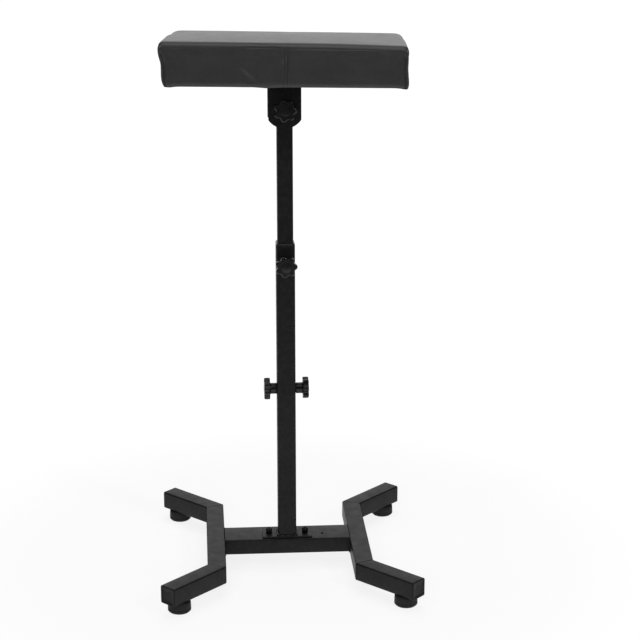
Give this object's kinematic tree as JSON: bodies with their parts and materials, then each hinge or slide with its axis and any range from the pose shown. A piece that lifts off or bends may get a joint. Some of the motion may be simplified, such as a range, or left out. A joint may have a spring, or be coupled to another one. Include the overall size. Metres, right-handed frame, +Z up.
{
  "type": "tattoo armrest",
  "caption": "Free-standing padded armrest: tilting cushion on a telescoping square post with star-knob clamps, on an H-shaped base with rubber feet.",
  "frame": {"origin": "on the floor under the middle of the four feet", "axes": "+Z up along the post, -Y to the front where the star knobs of the head and the post's top face, +X to the right as seen from the front"},
  "size_m": [0.4176, 0.4296, 0.878],
  "materials": {
    "powder_coat": "satin black powder coat",
    "black_plastic": "satin moulded plastic",
    "black_rubber": "matte moulded rubber",
    "zinc_steel": "bright zinc plate",
    "black_steel": "black oxide",
    "leatherette": "satin fine-grained leatherette",
    "foam": "open-cell foam",
    "plywood": "raw plywood"
  },
  "bodies": {
    "base": {"crossbar": "powder_coat", "left_rail": "powder_coat", "right_rail": "powder_coat", "front_left_leg": "powder_coat", "front_left_end_cap": "black_plastic", "front_left_foot": "black_rubber", "front_left_foot_screw": "zinc_steel", "front_left_foot_nut": "zinc_steel", "front_right_leg": "powder_coat", "front_right_end_cap": "black_plastic", "front_right_foot": "black_rubber", "front_right_foot_screw": "zinc_steel", "front_right_foot_nut": "zinc_steel", "rear_left_leg": "powder_coat", "rear_left_end_cap": "black_plastic", "rear_left_foot": "black_rubber", "rear_left_foot_screw": "zinc_steel", "rear_left_foot_nut": "zinc_steel", "rear_right_leg": "powder_coat", "rear_right_end_cap": "black_plastic", "rear_right_foot": "black_rubber", "rear_right_foot_screw": "zinc_steel", "rear_right_foot_nut": "zinc_steel", "post_foot_plate": "powder_coat", "post_tube": "powder_coat", "guide_bush": "black_plastic", "left_post_washer": "black_steel", "left_post_screw": "black_steel", "left_post_nut": "zinc_steel", "right_post_washer": "black_steel", "right_post_screw": "black_steel", "right_post_nut": "zinc_steel", "front_clamp_boss": "black_steel", "left_clamp_boss": "black_steel", "right_clamp_boss": "black_steel"},
    "front_clamp": {"front_clamp_knob": "black_plastic", "front_clamp_stud": "zinc_steel"},
    "left_clamp": {"left_clamp_knob": "black_plastic", "left_clamp_stud": "zinc_steel"},
    "right_clamp": {"right_clamp_knob": "black_plastic", "right_clamp_stud": "zinc_steel"},
    "mast": {"mast_tube": "powder_coat", "mast_guide_plug": "black_plastic", "mast_top_cap": "black_plastic"},
    "head": {"tilt_bracket": "powder_coat", "pivot_bolt": "zinc_steel", "front_friction_washer": "black_plastic", "rear_friction_washer": "black_plastic", "front_pivot_washer": "zinc_steel", "rear_pivot_washer": "zinc_steel", "pad_mount_plate": "powder_coat", "pad_board": "plywood", "pad_foam": "foam", "pad_cover": "leatherette", "pad_screw_1": "zinc_steel", "pad_screw_2": "zinc_steel", "pad_screw_3": "zinc_steel", "pad_screw_4": "zinc_steel"},
    "tilt_knob": {"tilt_knob": "black_plastic"}
  },
  "joints": [
    {"name": "mast_height", "type": "slide", "parent": "base", "child": "mast", "axis": [0, 0, 1], "range_m": [-0.18, 0.045]},
    {"name": "pad_tilt", "type": "hinge", "parent": "mast", "child": "head", "pos_m": [0, -0.007, 0.769], "axis": [0, 1, 0], "range_deg": [-90, 90]},
    {"name": "tilt_knob_turn", "type": "hinge", "parent": "head", "child": "tilt_knob", "pos_m": [0, -0.0258, 0.769], "axis": [0, -1, 0], "continuous": true},
    {"name": "front_clamp_turn", "type": "hinge", "parent": "base", "child": "front_clamp", "pos_m": [0, -0.0232, 0.5189], "axis": [0, -1, 0], "continuous": true},
    {"name": "left_clamp_turn", "type": "hinge", "parent": "base", "child": "left_clamp", "pos_m": [-0.0162, -0.007, 0.3064], "axis": [-1, 0, 0], "continuous": true},
    {"name": "right_clamp_turn", "type": "hinge", "parent": "base", "child": "right_clamp", "pos_m": [0.0167, -0.007, 0.3064], "axis": [1, 0, 0], "continuous": true}
  ]
}
